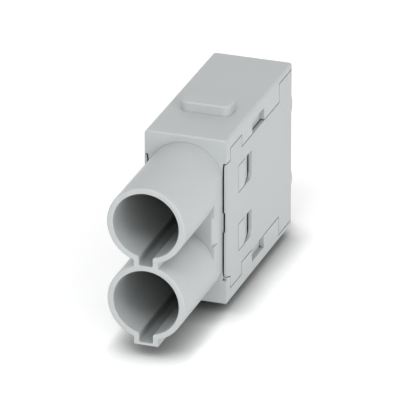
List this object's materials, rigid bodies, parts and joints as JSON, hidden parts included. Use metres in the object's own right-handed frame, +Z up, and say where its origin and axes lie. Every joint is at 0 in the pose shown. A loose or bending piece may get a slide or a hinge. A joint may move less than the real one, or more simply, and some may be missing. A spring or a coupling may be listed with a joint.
{
  "type": "connector insert module",
  "caption": "Plastic connector insert for a modular frame, with keyed round mating tubes in front, a snapped-together shell, coding lugs and round cable entries.",
  "frame": {"origin": "under the middle of the whole module, level with the lower lug's foot", "axes": "+Y from the mating side to the cable side along the bores, +Z up through the two chambers, +X across the narrow width"},
  "size_m": [0.0146, 0.057, 0.034],
  "materials": {
    "front_plastic": "fine satin, light grey",
    "rear_plastic": "fine satin, light grey",
    "spring_steel": "bright rolled spring strip"
  },
  "bodies": {
    "root": {"front_housing": "front_plastic", "rear_housing": "rear_plastic", "upper_retaining_clip": "spring_steel", "lower_retaining_clip": "spring_steel"}
  },
  "joints": []
}
